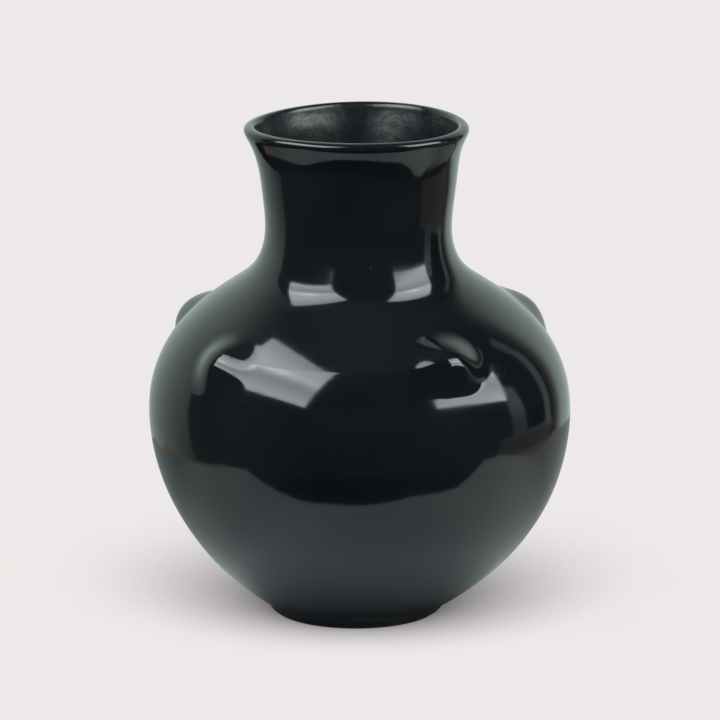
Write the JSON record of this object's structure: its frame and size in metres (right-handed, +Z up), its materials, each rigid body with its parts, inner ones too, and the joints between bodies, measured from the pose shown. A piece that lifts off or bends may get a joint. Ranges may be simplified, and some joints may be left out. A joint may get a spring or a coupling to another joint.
{
  "type": "clay pot",
  "caption": "Round-bellied burnished black clay pot with a tall flared neck, rolled lip, low foot ring and modelled bosses round its shoulder.",
  "frame": {"origin": "centre of the foot ring on the surface that the pot stands on", "axes": "+Z up along the pot's axis, -Y the front, between the two front bosses"},
  "size_m": [0.2213, 0.2214, 0.2615],
  "materials": {
    "burnished_clay": "burnished to a mirror gloss outside, semi-matt inside, smoke-blackened earthenware",
    "plain_clay": "matt, smoothed but not burnished, smoke-blackened earthenware"
  },
  "bodies": {
    "root": {"foot_ring": "plain_clay", "base_disc": "plain_clay", "lower_wall": "burnished_clay", "lower_belly": "burnished_clay", "upper_belly": "burnished_clay", "lower_shoulder": "burnished_clay", "upper_shoulder": "burnished_clay", "lower_neck": "burnished_clay", "upper_neck": "burnished_clay", "rim_coil": "burnished_clay", "boss_front_left": "burnished_clay", "boss_front_right": "burnished_clay", "boss_back_right": "burnished_clay", "boss_back_left": "burnished_clay"}
  },
  "joints": []
}
